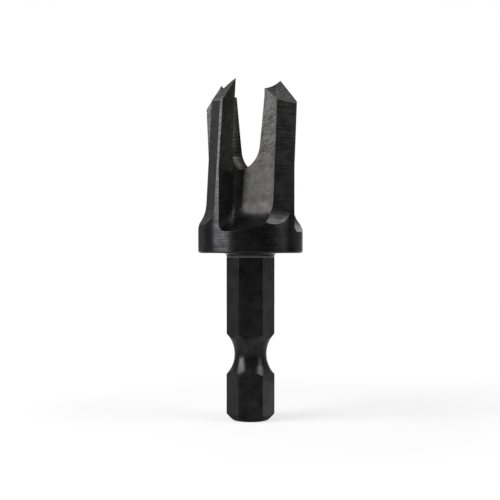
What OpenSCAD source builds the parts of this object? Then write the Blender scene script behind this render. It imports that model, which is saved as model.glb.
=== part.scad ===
// Tapered plug cutter: one piece of hardened steel with a black oxide finish.
// It stands on the end of its hex shank, with the four cutting jaws at the top.
// Origin at the middle of the shank's end face, +Z along the axis toward the tips, millimetres.
// The cutter turns counterclockwise as seen from its tips, so each jaw cuts with
// the wall on its counterclockwise side.

/* [Shank] */
// Size of the hex shank across its flats
shank_flats = 6.35; // [5.5:0.05:8]
// Length of the shank, from its end to the underside of the collar
shank_len = 25.4; // [20:0.1:40]
// Chamfer at the end of the shank, at 45 degrees
end_chamfer = 0.9; // [0.4:0.1:1.6]
// Height of the middle of the quick-change groove above the end
groove_height = 10; // [6:0.1:14]
// Radius of the groove's round section
groove_radius = 4.5; // [3.5:0.1:6]
// Diameter of the steel left at the bottom of the groove
groove_neck_dia = 4.9; // [4:0.1:5.2]
// Fillet between the shank and the underside of the collar
collar_fillet = 0.6; // [0.3:0.1:1.5]

/* [Head] */
// Outside diameter of the collar and of the jaws
head_dia = 16; // [14:0.1:18]
// Length of the head, from the underside of the collar to the tips
head_len = 26; // [22:0.1:32]
// Broken edge around the underside of the collar
edge_break = 0.2; // [0.1:0.05:0.6]
// Angle from the middle of the hex flat at the back to the first jaw's cutting wall
head_turn = 147; // [0:1:180]
// Number of cutting jaws
jaw_count = 4; // [3:1:4]

/* [Tapered bore] */
// Bore diameter at the tips
bore_mouth_dia = 10; // [9:0.05:11]
// Bore diameter where the taper ends and the round bottom begins
bore_root_dia = 9.7; // [8.4:0.05:9.9]
// Depth of the taper below the tips
bore_depth = 10.1; // [8:0.1:12]

/* [Flutes] */
// Diameter of the milling cutter that leaves each flute
flute_cutter_dia = 10; // [8:0.1:12]
// Radius on the corner of that cutter, which rounds the flute's valley
flute_corner_radius = 1.1; // [0.6:0.1:2]
// Height of the lowest point of the flutes above the underside of the collar
flute_stop = 3.1; // [2:0.1:5]
// Distance of the cutting wall behind the radial line
rake_setback = 0.35; // [0.1:0.01:0.8]
// Depth below the tips where the cutting wall starts to lean forward
rake_lean_depth = 13.3; // [8:0.1:16]
// Forward lean of the cutting wall above that depth
rake_lean = 4.2; // [0:0.1:5]
// Distance of each jaw's back wall from the axis, at the height of the outer corners
back_wall_offset = 2.72; // [2.2:0.01:3.4]
// Lean of the back wall
back_wall_lean = 3.8; // [0:0.1:5]

/* [Relief flats] */
// Angle from the cutting wall back to the square of the relief flat
relief_turn = 31; // [26:1:36]
// Depth of the relief flat below the outside, at the height of the outer corners
relief_depth = 1.09; // [0.6:0.01:1.4]
// Lean of the relief flat toward the axis
relief_lean = 1.8; // [0:0.1:3]
// Diameter of the wheel that leaves the relief flat
relief_wheel_dia = 12.7; // [10:0.1:16]
// Height of the middle of that wheel above the collar's underside, at its lowest
relief_stop = 6.9; // [6:0.1:9]

/* [Tips] */
// Height of the tips above the outer corners of the jaws
tip_rise = 3.45; // [2:0.05:4.5]
// Angle from the cutting wall back to the slope of the front bevel
front_bevel_turn = 25; // [15:1:35]
// Angle from the cutting wall back to the slope of the heel bevel
heel_bevel_turn = 44; // [36:1:55]
// Slope of the heel bevel from level
heel_bevel_slope = 43.4; // [40:0.1:50]

/* [Hidden] */

steel_black = "#2b2c2f";
cut_margin = 2;
// The wheel bites this much deeper where it stops than along the flat
wheel_dip = 0.01;
// The heel bevel clears the very tip by this height, so the tip is left to the front bevel
heel_clearance = 0.1;
hex_sides = 6;
$fn = 128;

shank_corner_radius = shank_flats / 2 / cos(180 / hex_sides);
end_radius = shank_corner_radius - end_chamfer;
head_radius = head_dia / 2;
total_len = shank_len + head_len;
corner_height = total_len - tip_rise;
flute_radius = flute_cutter_dia / 2;
relief_radius = relief_wheel_dia / 2;
bore_mouth_radius = bore_mouth_dia / 2;
bore_root_radius = bore_root_dia / 2;
bore_root_height = total_len - bore_depth;
rake_lean_height = total_len - rake_lean_depth;
flute_centre_height = shank_len + flute_stop + flute_radius;
relief_centre_height = shank_len + relief_stop;
jaw_pitch = 360 / jaw_count;

// Radius of the tapered bore at height z
function bore_radius(z) =
    bore_mouth_radius + (z - total_len) * (bore_mouth_radius - bore_root_radius) / bore_depth;

// Offset of the cutting wall from the radial line at height z, positive toward the front
function rake_offset(z) = (z - rake_lean_height) * tan(rake_lean) - rake_setback;

// Offset of the back wall from the axis at height z
function back_offset(z) = back_wall_offset + (corner_height - z) * tan(back_wall_lean);

// Offset of the relief flat from the axis at height z
function relief_offset(z) = head_radius - relief_depth + (corner_height - z) * tan(relief_lean);

// Point on the cutting wall at distance r from the axis and height z
function wall_point(r, z) = [sqrt(r * r - rake_offset(z) * rake_offset(z)), rake_offset(z), z];

// Slope from level of a bevel that faces angle turn and passes through two points
function bevel_slope(turn, low, high) =
    atan2(high[2] - low[2], (low[0] - high[0]) * cos(turn) + (low[1] - high[1]) * sin(turn));

// Hex bar cut to length, with the turned chamfer at its end
module shank_bar() {
    intersection() {
        cylinder(h = shank_len + cut_margin, r = shank_corner_radius, $fn = hex_sides);
        rotate_extrude()
            polygon([
                [0, 0],
                [end_radius, 0],
                [end_radius + end_chamfer, end_chamfer],
                [end_radius + end_chamfer, shank_len + cut_margin],
                [0, shank_len + cut_margin]
            ]);
    }
}

// Ring that the quick-change groove takes out of the shank
module groove_ring() {
    translate([0, 0, groove_height])
        rotate_extrude()
            translate([groove_neck_dia / 2 + groove_radius, 0])
                circle(r = groove_radius);
}

// Turned blank of the head, with the fillet that runs down onto the shank
module head_blank() {
    rotate_extrude()
        polygon([
            [0, shank_len],
            [head_radius - edge_break, shank_len],
            [head_radius, shank_len + edge_break],
            [head_radius, total_len + cut_margin],
            [0, total_len + cut_margin]
        ]);
    rotate_extrude()
        difference() {
            translate([0, shank_len - collar_fillet])
                square([shank_corner_radius + collar_fillet, collar_fillet + edge_break]);
            translate([shank_corner_radius + collar_fillet, shank_len - collar_fillet])
                circle(r = collar_fillet);
        }
}

// Tapered hole that forms the plug, with a round bottom
module tapered_bore() {
    above_tips = total_len + 2 * cut_margin;
    rotate_extrude() {
        polygon([
            [0, bore_root_height],
            [bore_root_radius, bore_root_height],
            [bore_radius(above_tips), above_tips],
            [0, above_tips]
        ]);
        translate([0, bore_root_height])
            intersection() {
                circle(r = bore_root_radius);
                translate([0, -bore_root_radius])
                    square(bore_root_radius);
            }
    }
}

// Half section of the milling cutter, with its rounded corner
module flute_cutter_profile() {
    square([flute_radius - flute_corner_radius, flute_corner_radius]);
    translate([0, flute_corner_radius])
        square([flute_radius, head_dia]);
    intersection() {
        translate([flute_radius - flute_corner_radius, flute_corner_radius])
            circle(r = flute_corner_radius);
        translate([flute_radius - flute_corner_radius, 0])
            square([flute_corner_radius, flute_corner_radius]);
    }
}

// Steel that the milling cutter takes out of one flute: where it stops, and its way up
module flute_sweep() {
    lean_shift = flute_radius / cos(back_wall_lean);
    translate([back_offset(flute_centre_height) + lean_shift, -rake_setback, flute_centre_height]) {
        rotate([-90, 0, 0])
            rotate_extrude()
                flute_cutter_profile();
        rotate([0, -back_wall_lean, 0])
            linear_extrude(height = head_len + cut_margin)
                union() {
                    flute_cutter_profile();
                    mirror([1, 0])
                        flute_cutter_profile();
                }
    }
}

// One flute: the sweep is held back above by the forward lean of the cutting wall
module flute() {
    top = total_len + 3 * cut_margin;
    intersection() {
        flute_sweep();
        rotate([90, 0, 90])
            linear_extrude(height = head_dia)
                polygon([
                    [-rake_setback - cut_margin, shank_len],
                    [-rake_setback - cut_margin, rake_lean_height],
                    [-rake_setback, rake_lean_height],
                    [rake_offset(top), top],
                    [head_dia, top],
                    [head_dia, shank_len]
                ]);
    }
}

// Relief behind one jaw's land: a leaning flat that runs out in a round at its foot
module relief_cut() {
    rotate([0, 0, -relief_turn])
        translate([relief_offset(relief_centre_height) + relief_radius, 0, relief_centre_height])
            rotate([90, 0, 0])
                linear_extrude(height = 2 * head_dia, center = true)
                    union() {
                        circle(r = relief_radius);
                        rotate(relief_lean)
                            translate([wheel_dip - relief_radius, 0])
                                square([relief_wheel_dia, head_len]);
                    }
}

// Space above a bevel that faces angle turn, rises at slope and passes through a point
module bevel_cut(turn, slope, point) {
    translate(point)
        rotate([0, slope, -turn])
            translate([-head_dia, -head_dia, 0])
                cube([2 * head_dia, 2 * head_dia, head_dia]);
}

// The two bevels that meet in the ridge at the tip of one jaw
module tip_bevels() {
    outer_corner = wall_point(head_radius, corner_height);
    tip = wall_point(bore_mouth_radius, total_len);
    front_bevel_slope = bevel_slope(-front_bevel_turn, outer_corner, tip);
    intersection() {
        union() {
            bevel_cut(front_bevel_turn, front_bevel_slope, tip);
            bevel_cut(heel_bevel_turn, heel_bevel_slope, tip + [0, 0, heel_clearance]);
        }
        translate([bore_mouth_radius / 2, -head_dia, corner_height - tip_rise])
            cube([head_dia, head_dia + cut_margin, head_dia]);
    }
}

// The whole cutter
module cutter_body() {
    color(steel_black)
        difference() {
            union() {
                shank_bar();
                head_blank();
            }
            groove_ring();
            tapered_bore();
            for (i = [0 : jaw_count - 1])
                rotate([0, 0, 90 + head_turn + i * jaw_pitch]) {
                    flute();
                    relief_cut();
                    tip_bevels();
                }
        }
}

cutter_body();
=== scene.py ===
# %% [markdown]
# A tapered plug cutter cuts small tapered plugs of wood that hide screws. It is one bar of
# tool steel: a hex shank for a quick-change holder, a turned collar, and four ground jaws
# around a tapered bore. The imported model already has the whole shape, so nothing is modelled
# again here. This lesson gives the steel its finish, with the marks that each tool left on
# its own faces, and lights it as a small shiny black thing has to be lit.

# %% Load the fixed model
import math

import bmesh
import bpy
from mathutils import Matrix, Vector


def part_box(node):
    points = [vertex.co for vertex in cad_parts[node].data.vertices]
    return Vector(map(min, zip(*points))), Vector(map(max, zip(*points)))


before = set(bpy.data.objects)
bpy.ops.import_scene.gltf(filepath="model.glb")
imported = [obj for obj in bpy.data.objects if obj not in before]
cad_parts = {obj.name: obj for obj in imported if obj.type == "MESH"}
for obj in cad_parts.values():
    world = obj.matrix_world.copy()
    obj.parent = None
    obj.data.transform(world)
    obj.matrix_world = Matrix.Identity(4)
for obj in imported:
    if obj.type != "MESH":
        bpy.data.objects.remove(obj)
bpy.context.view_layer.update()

MM = 0.001

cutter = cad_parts["cutter_body"]
highest_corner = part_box("cutter_body")[1]
head_radius = highest_corner[0] / MM
tip_height = highest_corner[2] / MM
print("head radius and height of the tips in mm:", round(head_radius, 2), round(tip_height, 2))
print("polygons:", len(cutter.data.polygons))

# %% [markdown]
# Colours are easiest to pick as the hex values of a colour picker. Shaders want linear colours,
# so one function converts them, and another turns two angles around the cutter into a way. A
# material is a tree of nodes, and another small function adds a node with its settings and
# links, so that each finish below reads as a short list. Where it is given a whole node to link,
# it takes that node's first output.

# %% Helpers for colours and nodes
def linear(hex_colour):
    """Turns an sRGB hex colour into the linear colour that the shaders want."""
    channels = [int(hex_colour[i:i + 2], 16) / 255 for i in (1, 3, 5)]
    return [c / 12.92 if c <= 0.04045 else ((c + 0.055) / 1.055) ** 2.4 for c in channels] + [1.0]


def add_node(tree, kind, settings=None, links=None):
    """Adds one node, sets its properties or inputs, and links sockets or whole nodes into it."""
    node = tree.nodes.new(kind)
    for name, value in (settings or {}).items():
        if isinstance(name, str) and hasattr(node, name):
            setattr(node, name, value)
        else:
            node.inputs[name].default_value = value
    for name, source in (links or {}).items():
        socket = source.outputs[0] if isinstance(source, bpy.types.Node) else source
        tree.links.new(socket, node.inputs[name])
    return node


def direction(azimuth, elevation):
    """Unit vector seen from the cutter: azimuth in degrees to the right of the camera."""
    turn, rise = math.radians(azimuth), math.radians(elevation)
    return Vector((math.sin(turn) * math.cos(rise), -math.cos(turn) * math.cos(rise), math.sin(rise)))


print("mid grey #808080 is", round(linear("#808080")[0], 3), "in linear light")

# %% [markdown]
# The product picture was taken from straight in front, level with the middle of the cutter
# and quite close, so the jaws in front look a little larger than those behind. A camera with
# a wrong distance would give the right outline but wrong inner edges. Distance, height and
# scale here were worked out from the quarter-inch hex shank and the curve of the collar.

# %% Camera
CAMERA_DISTANCE = 145.4 * MM
CAMERA_HEIGHT = 25.86 * MM
CAMERA_SIDE = -0.08 * MM
SENSOR_WIDTH = 36.0
FRAME_PIXELS = 500
PIXELS_PER_MM = 6.535
FRAME_WIDTH_AT_AXIS = FRAME_PIXELS / PIXELS_PER_MM * MM

camera_data = bpy.data.cameras.new("camera")
camera_data.sensor_width = SENSOR_WIDTH
camera_data.lens = SENSOR_WIDTH * CAMERA_DISTANCE / FRAME_WIDTH_AT_AXIS
camera_data.clip_start = 1 * MM
camera = bpy.data.objects.new("camera", camera_data)
bpy.context.scene.collection.objects.link(camera)
camera.location = (CAMERA_SIDE, -CAMERA_DISTANCE, CAMERA_HEIGHT)
camera.rotation_euler = (math.radians(90), 0, 0)
bpy.context.scene.camera = camera
bpy.context.scene.view_settings.view_transform = "Standard"
print("lens in mm:", round(camera_data.lens, 1))

# %% [markdown]
# Product pictures of dark steel are often taken in a white tent. The world is that tent. What
# the camera, a mirror or glass sees of it is plain white, with a strength of 1. What it adds
# to matt surfaces is set apart, so that the lamps can model them and the sum stays plain.

# %% White tent
TENT_LIGHT = 0.25


def white_to_rays(tree):
    """Gives 1 for rays that see a backdrop: from the camera, off metal or through glass."""
    path = add_node(tree, "ShaderNodeLightPath")
    seen = add_node(tree, "ShaderNodeMath", {"operation": "MAXIMUM"},
                    {0: path.outputs["Is Camera Ray"], 1: path.outputs["Is Glossy Ray"]})
    return add_node(tree, "ShaderNodeMath", {"operation": "MAXIMUM"},
                    {0: seen, 1: path.outputs["Is Transmission Ray"]})


world = bpy.data.worlds.new("white_tent")
bpy.context.scene.world = world
world.use_nodes = True
tree = world.node_tree
tree.nodes.clear()
strength = add_node(tree, "ShaderNodeMapRange", {"To Min": TENT_LIGHT, "To Max": 1.0},
                    {"Value": white_to_rays(tree)})
tent = add_node(tree, "ShaderNodeBackground", {"Color": (1, 1, 1, 1)}, {"Strength": strength})
add_node(tree, "ShaderNodeOutputWorld", None, {"Surface": tent})
print("tent lights matt surfaces with", TENT_LIGHT)

# %% [markdown]
# A mirror-like face shows what stands opposite, not its own colour. A tall soft box on the
# left lights the land and the back wall of the jaws, and a smaller one high on the right
# lights the upturned curves. Area lamps are soft boxes: their size sets how soft the shine is.

# %% Soft boxes
FOCUS = Vector((0, 0, 30 * MM))
LAMP_DISTANCE = 0.30


def soft_box(name, azimuth, elevation, width, height, radiance):
    """Adds a soft box that faces the cutter and looks as bright at any size."""
    lamp = bpy.data.lights.new(name, "AREA")
    lamp.shape = "RECTANGLE"
    lamp.size, lamp.size_y = width, height
    lamp.energy = radiance * width * height * math.pi
    obj = bpy.data.objects.new(name, lamp)
    bpy.context.scene.collection.objects.link(obj)
    towards = direction(azimuth, elevation)
    obj.location = FOCUS + towards * LAMP_DISTANCE
    obj.rotation_euler = towards.to_track_quat("Z", "Y").to_euler()
    obj.visible_camera = False
    print(name, "in square metres:", round(width * height, 4), "in watts:", round(lamp.energy, 3))


soft_box("left_soft_box", -67, 23.5, 0.205, 0.264, 5.5)
soft_box("right_soft_box", 71, 42, 0.17, 0.20, 2.3)

# %% [markdown]
# In an empty white tent the front of the cutter would mirror white and look grey and flat. So
# cards stand around it, dark ones and a few bright ones, and two strips hang higher up. Others
# lie on the table and slope up to their feet, with a paler disc near the shank and a darker one
# at its foot, and a low ring stands around its end. Only reflections see them, so they throw no
# shadow. Their greys differ from side to side, as in a real studio. The tall rows stop short of
# the back, where the steel catches the white tent.

# %% Cards that only reflections see
CARD_RADIUS = 0.42
LEVEL_TOP = 0.04
MIDDLE_TOP = 0.10
CARD_TOP = 1.2
TABLE_CARD_START = 0.035
TABLE_CARD_FOOT = 1 * MM
TABLE_CARD_RISE = 0.024
CLEAR_OF_TABLE = 0.1 * MM
FOOT_SHADE_START = 0.1 * MM
FOOT_RADIUS = 0.006
FOOT_RING_TOP = 0.0054
STRIP_RADIUS = 0.40
CARD_STEP = 4
# A row has its low edge and its high edge, each as a radius and a height, and then its cards,
# each as the azimuth where it starts, the azimuth where it ends and its grey
CARD_ROWS = {
    "high": ((CARD_RADIUS, MIDDLE_TOP), (CARD_RADIUS, CARD_TOP),
             ((-168, -137, 0.62), (-137, -112, 0.36), (-112, 58, 0.13), (58, 86, 1.50), (86, 104, 0.06),
              (104, 120, 0.50), (120, 156, 0.22))),
    "middle": ((CARD_RADIUS, LEVEL_TOP), (CARD_RADIUS, MIDDLE_TOP),
               ((-168, -137, 0.15), (-137, -112, 0.35), (-112, 58, 0.07), (58, 86, 1.12), (86, 104, 0.03),
                (104, 120, 0.40), (120, 156, 0.18))),
    "level": ((CARD_RADIUS, TABLE_CARD_RISE), (CARD_RADIUS, LEVEL_TOP),
              ((-168, -137, 0.06), (-137, -114, 0.22), (-114, 52, 0.01), (52, 83, 0.34), (83, 120, 0.01),
               (120, 156, 0.16))),
    "table": ((TABLE_CARD_START, TABLE_CARD_FOOT), (CARD_RADIUS, TABLE_CARD_RISE),
              ((-156, -105, 0.28), (-105, 105, 0.26), (105, 156, 0.40))),
    "foot_ring": ((FOOT_RADIUS, CLEAR_OF_TABLE), (FOOT_RADIUS, FOOT_RING_TOP),
                  ((-170, -60, 0.34), (-60, 60, 0.30), (60, 170, 0.60))),
    "foot_shade": ((FOOT_SHADE_START, CLEAR_OF_TABLE), (FOOT_RADIUS, CLEAR_OF_TABLE),
                   ((-180, 180, 0.19),)),
    "near_table": ((FOOT_RADIUS, CLEAR_OF_TABLE), (TABLE_CARD_START, TABLE_CARD_FOOT),
                   ((-180, 180, 0.54),)),
    "front_strip": ((STRIP_RADIUS, 0.40), (STRIP_RADIUS, 0.95), ((-50, 0, 0.35),)),
    "right_strip": ((STRIP_RADIUS, 0.42), (STRIP_RADIUS, 0.90), ((104, 136, 1.30),)),
}


def curved_card(name, start, end, low_edge, high_edge, grey):
    """Builds a card from azimuth start to end between two edges, each a radius and a height."""
    mesh = bpy.data.meshes.new(name)
    build = bmesh.new()
    rows = []
    steps = round((end - start) / CARD_STEP)
    for i in range(steps + 1):
        out = direction(start + (end - start) * i / steps, 0)
        rows.append([build.verts.new((out.x * r, out.y * r, z)) for r, z in (low_edge, high_edge)])
    for first, second in zip(rows, rows[1:]):
        build.faces.new((first[0], second[0], second[1], first[1]))
    build.to_mesh(mesh)
    build.free()
    card = bpy.data.objects.new(name, mesh)
    bpy.context.scene.collection.objects.link(card)
    cloth = bpy.data.materials.new(name + "_cloth")
    cloth.use_nodes = True
    cloth.node_tree.nodes.clear()
    glow = add_node(cloth.node_tree, "ShaderNodeEmission", {"Color": (1, 1, 1, 1), "Strength": grey})
    add_node(cloth.node_tree, "ShaderNodeOutputMaterial", None, {"Surface": glow})
    mesh.materials.append(cloth)
    card.visible_camera = False
    card.visible_diffuse = False
    card.visible_shadow = False
    print(name, "from azimuth", start, "to", end, "reflects as a grey of", grey)


for row, (low_edge, high_edge, cards) in CARD_ROWS.items():
    for number, (start, end, grey) in enumerate(cards):
        curved_card(row + "_card_" + str(number), start, end, low_edge, high_edge, grey)

# %% [markdown]
# The cutter stands on the end of its shank on a table of matt white paper. Paper scatters light
# evenly, so it has no shine. It is white to the camera by its own colour and a glow that only
# the camera, mirrors and glass see, a little weaker near the foot, where the matt part takes the
# soft shadow.

# %% White table
TABLE_HALF = 0.3
PAPER = "#a8a8a8"
SHADED_GLOW = 0.68
FAR_GLOW = 0.95
SHADED_TO, FAR_FROM = 0.03, 0.16

mesh = bpy.data.meshes.new("white_table")
build = bmesh.new()
build.faces.new([build.verts.new((x * TABLE_HALF, y * TABLE_HALF, 0))
                 for x, y in ((-1, -1), (1, -1), (1, 1), (-1, 1))])
build.to_mesh(mesh)
build.free()
table = bpy.data.objects.new("white_table", mesh)
bpy.context.scene.collection.objects.link(table)
paper = bpy.data.materials.new("matt_white_paper")
paper.use_nodes = True
tree = paper.node_tree
tree.nodes.clear()
table_coords = add_node(tree, "ShaderNodeTexCoord")
from_foot = add_node(tree, "ShaderNodeVectorMath", {"operation": "LENGTH"},
                     {0: table_coords.outputs["Object"]})
table_white = add_node(tree, "ShaderNodeMapRange",
                       {"From Min": SHADED_TO, "From Max": FAR_FROM,
                        "To Min": SHADED_GLOW, "To Max": FAR_GLOW},
                       {"Value": from_foot.outputs["Value"]})
glow_level = add_node(tree, "ShaderNodeMath", {"operation": "MULTIPLY"},
                      {0: white_to_rays(tree), 1: table_white})
glow = add_node(tree, "ShaderNodeEmission", {"Color": (1, 1, 1, 1)}, {"Strength": glow_level})
matt = add_node(tree, "ShaderNodeBsdfDiffuse", {"Color": linear(PAPER)})
both = add_node(tree, "ShaderNodeAddShader", None, {0: glow, 1: matt})
add_node(tree, "ShaderNodeOutputMaterial", None, {"Surface": both})
mesh.materials.append(paper)
print("table at height", table.location.z, "with glow from", SHADED_GLOW, "to", FAR_GLOW)

# %% [markdown]
# Black oxide is a skin about a thousandth of a millimetre thick that hot salts grow on steel.
# To the eye it is a deep grey with a soft metal shine. It is thin enough to keep every tool
# mark, so the finish has to say how each face was cut: the collar and the groove were turned,
# the flutes milled and the outside of the jaws ground.
# The faces need no painting by hand. For any face, the distance from the axis to its plane
# tells them apart: flutes and bore lie within about 5 mm, and the ground outside beyond it.

# %% Where each tool has cut
FLUTE_REACH = 0.65 * head_radius
COLLAR_BOTTOM = tip_height - 26.7
COLLAR_TOP = tip_height - 24.0
MATH, VECTOR_MATH = "ShaderNodeMath", "ShaderNodeVectorMath"

steel = bpy.data.materials.new("black_oxide_tool_steel")
steel.use_nodes = True
tree = steel.node_tree
shader = tree.nodes["Principled BSDF"]
coords = add_node(tree, "ShaderNodeTexCoord")
place = add_node(tree, VECTOR_MATH, {"operation": "SCALE", "Scale": 1 / MM},
                 {"Vector": coords.outputs["Object"]})
level_normal = add_node(tree, VECTOR_MATH, {"operation": "MULTIPLY", 1: (1, 1, 0)},
                        {0: coords.outputs["Normal"]})
along = add_node(tree, VECTOR_MATH, {"operation": "CROSS_PRODUCT", 0: (0, 0, 1)}, {1: level_normal})
depth = add_node(tree, VECTOR_MATH, {"operation": "DOT_PRODUCT"}, {0: place, 1: level_normal})
depth = depth.outputs["Value"]
across = add_node(tree, VECTOR_MATH, {"operation": "DOT_PRODUCT"}, {0: place, 1: along})
across = across.outputs["Value"]
height = add_node(tree, "ShaderNodeSeparateXYZ", None, {0: place}).outputs["Z"]
inside_flutes = add_node(tree, MATH, {"operation": "LESS_THAN", 1: FLUTE_REACH}, {0: depth})
above_collar = add_node(tree, MATH, {"operation": "GREATER_THAN", 1: COLLAR_TOP}, {0: height})
milled = add_node(tree, MATH, {"operation": "MULTIPLY"}, {0: inside_flutes, 1: above_collar})
print("material", steel.name, "tells milled faces within", round(FLUTE_REACH, 2), "mm of the axis")

# %% [markdown]
# Every face now has its own flat map: across the face, up the cutter, and the depth of its
# plane. On a turned face the first of these stays 0, so a pattern drawn on this map turns into
# rings there by itself. Real turning and grinding lines are 0.05 to 0.1 mm apart and a milling
# cutter's feed marks about 0.1 mm, which is too fine to show here, so the lines are drawn
# 0.17 mm apart and the feed marks 0.42 mm. The grain of the oxide is finer still, and is drawn
# 0.22 mm across.

# %% Maps for the marks
LINE_SPACING = 0.17
LINE_LENGTH = 3.0
SCRATCH_WIDTH = 0.24
SCRATCH_LENGTH = 0.7
SCRATCH_SLOPE = 42
MILLING_FEED = 0.42
FEED_SHARE = 0.2
GRAIN = 0.22
PATCH = 1.8
# Faces that lie equally deep but face another way are told apart by this much
TURN_SHIFT = (5, 3, 0)

turn_shift = add_node(tree, VECTOR_MATH, {"operation": "DOT_PRODUCT", 1: TURN_SHIFT}, {0: level_normal})
layer = add_node(tree, MATH, {"operation": "ADD"}, {0: depth, 1: turn_shift.outputs["Value"]})
face_map = add_node(tree, "ShaderNodeCombineXYZ", None, {"X": across, "Y": height, "Z": layer})
slanted_map = add_node(tree, "ShaderNodeMapping", {"Rotation": (0, 0, math.radians(-SCRATCH_SLOPE))},
                       {"Vector": face_map})
marks = {}
# The third size of a pattern says how far apart two planes lie before their marks differ
for name, mark_map, size, detail in (("lines", face_map, (LINE_LENGTH, LINE_SPACING, 5.0), 1.0),
                                     ("scratches", slanted_map, (SCRATCH_LENGTH, SCRATCH_WIDTH, 3.0), 1.0),
                                     ("grain", place, (GRAIN, GRAIN, GRAIN), 2.0),
                                     ("patches", place, (PATCH, PATCH, PATCH), 3.0)):
    stretched = add_node(tree, "ShaderNodeMapping", {"Scale": [1 / v for v in size]}, {"Vector": mark_map})
    marks[name] = add_node(tree, "ShaderNodeTexNoise", {"Scale": 1.0, "Detail": detail, "Roughness": 0.6},
                           {"Vector": stretched})
    print(name, "have a size in mm of", size)
# At a scale of 1, the bands of a wave texture are pi / 10 apart
feed = add_node(tree, "ShaderNodeTexWave",
                {"bands_direction": "Y", "Scale": math.pi / 10 / MILLING_FEED,
                 "Distortion": 1.5, "Detail": 1.0, "Detail Scale": 1.2}, {"Vector": slanted_map})
marks["scratches"] = add_node(tree, "ShaderNodeMix", {0: FEED_SHARE},
                              {2: marks["scratches"], 3: feed.outputs["Fac"]})

# %% [markdown]
# The marks also show as shades, because the oxide grows thicker in a groove than on its ridges.
# Diagonal scratches lie on the milled walls, most of them near the tips, and level lines on all
# that was turned or ground above the shank. The salts leave faint patches everywhere. Milled
# steel looks a little warmer than the rest, and smooth ground steel a little darker. Low in the
# flutes, where a floor faces up, the colour is darkened as painted shade.

# %% Shades of the oxide
OXIDE_DARK = "#262627"
OXIDE_LIGHT = "#565657"
GROUND_TINT = "#dcdcdd"
MILLED_TINT = "#fffcf6"
FLOOR_SHADE_TINT = "#a8a8ac"
FLOOR_SHADE_BELOW = tip_height - 18.0
FLOOR_SHADE_FROM, FLOOR_SHADE_FULL = 0.2, 0.7
RAMP_ENDS = (0.2, 0.8)
GRAIN_SHADE = 0.6
PATCH_SHADE = 0.9
SCRATCH_SHADE = 1.15
LINE_SHADE = 0.8
SCRATCHES_FROM = tip_height - 13.9
SCRATCHES_FULL = tip_height - 10.9
LEAST_SCRATCHES = 0.2

near_tips = add_node(tree, "ShaderNodeMapRange",
                     {"From Min": SCRATCHES_FROM, "From Max": SCRATCHES_FULL, "To Min": LEAST_SCRATCHES},
                     {"Value": height})
scratch_amount = add_node(tree, MATH, {"operation": "MULTIPLY"}, {0: milled, 1: near_tips})
above_shank = add_node(tree, MATH, {"operation": "GREATER_THAN", 1: COLLAR_BOTTOM}, {0: height})
line_amount = add_node(tree, MATH, {"operation": "SUBTRACT", "use_clamp": True},
                       {0: above_shank, 1: milled})

middle_shade = 0.5 - (GRAIN_SHADE + PATCH_SHADE) / 2
shade = add_node(tree, MATH, {"operation": "MULTIPLY_ADD", 1: GRAIN_SHADE, 2: middle_shade},
                 {0: marks["grain"]})
shade = add_node(tree, MATH, {"operation": "MULTIPLY_ADD", 1: PATCH_SHADE}, {0: marks["patches"], 2: shade})
for name, amount, strength in (("scratches", scratch_amount, SCRATCH_SHADE),
                               ("lines", line_amount, LINE_SHADE)):
    swing = add_node(tree, MATH, {"operation": "MULTIPLY_ADD", 1: strength, 2: -strength / 2},
                     {0: marks[name]})
    shade = add_node(tree, MATH, {"operation": "MULTIPLY_ADD"}, {0: swing, 1: amount, 2: shade})
oxide = add_node(tree, "ShaderNodeValToRGB", None, {"Fac": shade})
for element, position, hex_colour in zip(oxide.color_ramp.elements, RAMP_ENDS, (OXIDE_DARK, OXIDE_LIGHT)):
    element.position = position
    element.color = linear(hex_colour)
tint = add_node(tree, "ShaderNodeMix",
                {"data_type": "RGBA", 6: linear(GROUND_TINT), 7: linear(MILLED_TINT)}, {"Factor": milled})
tinted = add_node(tree, "ShaderNodeMix", {"data_type": "RGBA", "blend_type": "MULTIPLY", "Factor": 1.0},
                  {6: oxide, 7: tint.outputs[2]})
# Painted shade: low in the flutes, floors that face up are darkened in their colour
below_walls = add_node(tree, MATH, {"operation": "LESS_THAN", 1: FLOOR_SHADE_BELOW}, {0: height})
flute_foot = add_node(tree, MATH, {"operation": "MULTIPLY"}, {0: below_walls, 1: milled})
facing_up = add_node(tree, "ShaderNodeSeparateXYZ", None, {0: coords.outputs["Normal"]}).outputs["Z"]
painted_floor_shade = add_node(tree, "ShaderNodeMapRange", {"From Min": FLOOR_SHADE_FROM, "From Max": FLOOR_SHADE_FULL},
               {"Value": facing_up, "To Max": flute_foot})
floor_shaded = add_node(tree, "ShaderNodeMix",
                 {"data_type": "RGBA", "blend_type": "MULTIPLY", 7: linear(FLOOR_SHADE_TINT)},
                 {"Factor": painted_floor_shade, 6: tinted.outputs[2]})
print("oxide from", OXIDE_DARK, "to", OXIDE_LIGHT)

# %% [markdown]
# Handling rubs the edges a little paler. A Bevel node looks around each point: where its
# rounded normal differs from the real one, an edge is near. A thin pale ring is also painted
# round where the turned collar runs out onto the shank, as a painted highlight along that line.
# The milled flutes are less metallic than the turned and ground faces, because rough oxide
# scatters some light.

# %% Rubbed edges, roughness and metal
EDGE_RADIUS = 0.07
RUBBED = "#606061"
RIM_HIGHLIGHT = "#949495"
RIM_HEIGHT = tip_height - 26.6
RIM_WIDTH = 0.15
FLAT_BEND, SHARP_BEND = 0.995, 0.86
MOST_WEAR = 0.8
GROUND_ROUGHNESS = 0.24
MILLED_ROUGHNESS = 0.28
ROUGHNESS_SWING = 0.1
GROUND_METAL = 0.92
MILLED_METAL = 0.68
OXIDE_SPECULAR = 0.1

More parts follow.
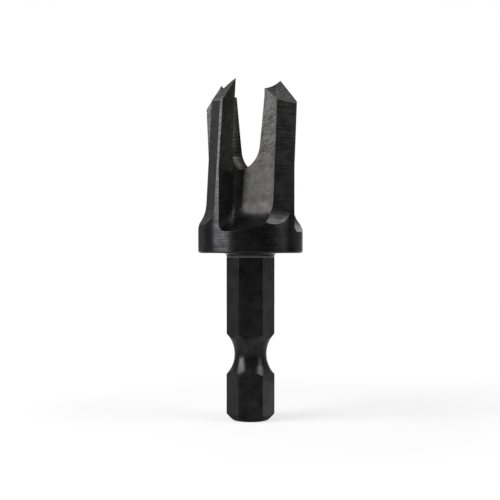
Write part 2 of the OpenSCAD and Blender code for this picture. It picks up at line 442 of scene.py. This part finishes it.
soft_edge = add_node(tree, "ShaderNodeBevel", {"samples": 6, "Radius": EDGE_RADIUS * MM})
geometry = add_node(tree, "ShaderNodeNewGeometry")
bend = add_node(tree, VECTOR_MATH, {"operation": "DOT_PRODUCT"},
                {0: soft_edge, 1: geometry.outputs["Normal"]})
edge_wear = add_node(tree, "ShaderNodeMapRange",
                     {"From Min": FLAT_BEND, "From Max": SHARP_BEND, "To Max": MOST_WEAR},
                     {"Value": bend.outputs["Value"]})
# Painted highlight: a thin pale ring round the foot of the collar, mixed into the colour
above_rim = add_node(tree, MATH, {"operation": "SUBTRACT", 1: RIM_HEIGHT}, {0: height})
rim_distance = add_node(tree, MATH, {"operation": "ABSOLUTE"}, {0: above_rim})
rim_highlight = add_node(tree, "ShaderNodeMapRange", {"From Min": RIM_WIDTH, "From Max": 0.0},
                    {"Value": rim_distance})
worn = add_node(tree, "ShaderNodeMix", {"data_type": "RGBA", 7: linear(RUBBED)},
                {"Factor": edge_wear, 6: floor_shaded.outputs[2]})
colour = add_node(tree, "ShaderNodeMix", {"data_type": "RGBA", 7: linear(RIM_HIGHLIGHT)},
                  {"Factor": rim_highlight, 6: worn.outputs[2]})
base_roughness = add_node(tree, "ShaderNodeMapRange",
                          {"To Min": GROUND_ROUGHNESS - ROUGHNESS_SWING / 2,
                           "To Max": MILLED_ROUGHNESS - ROUGHNESS_SWING / 2}, {"Value": milled})
roughness = add_node(tree, MATH, {"operation": "MULTIPLY_ADD", 1: ROUGHNESS_SWING},
                     {0: marks["grain"], 2: base_roughness})
metal = add_node(tree, "ShaderNodeMapRange", {"To Min": GROUND_METAL, "To Max": MILLED_METAL},
                 {"Value": milled})
tree.links.new(colour.outputs[2], shader.inputs["Base Color"])
tree.links.new(roughness.outputs[0], shader.inputs["Roughness"])
tree.links.new(metal.outputs[0], shader.inputs["Metallic"])
shader.inputs["Specular IOR Level"].default_value = OXIDE_SPECULAR
print("edges rubbed to", RUBBED, "within", EDGE_RADIUS, "mm")

# %% [markdown]
# The marks are only a few thousandths of a millimetre deep. As bumps of about that real depth
# they break up the reflections just as the marks on the tool do. The product picture also shows
# the back walls mirroring light from further round than a flat wall would. The real walls may be
# slightly hollow, which an outline can't show. As a stand-in for that, their shading is turned by
# 8 degrees, and their shape is left alone. Their depth tells them apart: their planes lie over
# 1.9 mm from the axis, and those of the cutting walls under 0.9 mm.

# %% Tool marks as bumps
LINE_DEPTH = 0.004
SCRATCH_DEPTH = 0.008
GRAIN_DEPTH = 0.003
WALL_TURN = 8
TURNED_FROM, TURNED_FULL = 0.9, 1.9

most_lean = math.tan(math.radians(WALL_TURN))
on_back_wall = add_node(tree, "ShaderNodeMapRange",
                        {"From Min": TURNED_FROM, "From Max": TURNED_FULL, "To Max": most_lean},
                        {"Value": depth})
lean = add_node(tree, MATH, {"operation": "MULTIPLY"}, {0: on_back_wall, 1: milled})
side_step = add_node(tree, VECTOR_MATH, {"operation": "SCALE"}, {0: along, "Scale": lean})
leaned = add_node(tree, VECTOR_MATH, {"operation": "ADD"}, {0: soft_edge, 1: side_step})
normal = add_node(tree, VECTOR_MATH, {"operation": "NORMALIZE"}, {0: leaned})
line_relief = add_node(tree, MATH, {"operation": "MULTIPLY"}, {0: marks["lines"], 1: line_amount})
scratch_relief = add_node(tree, MATH, {"operation": "MULTIPLY"}, {0: marks["scratches"], 1: scratch_amount})
for mark, mark_depth in ((marks["grain"], GRAIN_DEPTH), (line_relief, LINE_DEPTH),
                         (scratch_relief, SCRATCH_DEPTH)):
    normal = add_node(tree, "ShaderNodeBump", {"Distance": mark_depth * MM, "Strength": 1.0},
                      {"Height": mark, "Normal": normal})
tree.links.new(normal.outputs[0], shader.inputs["Normal"])
for slot in cutter.material_slots:
    slot.material = steel
print("nodes in", steel.name + ":", len(tree.nodes))
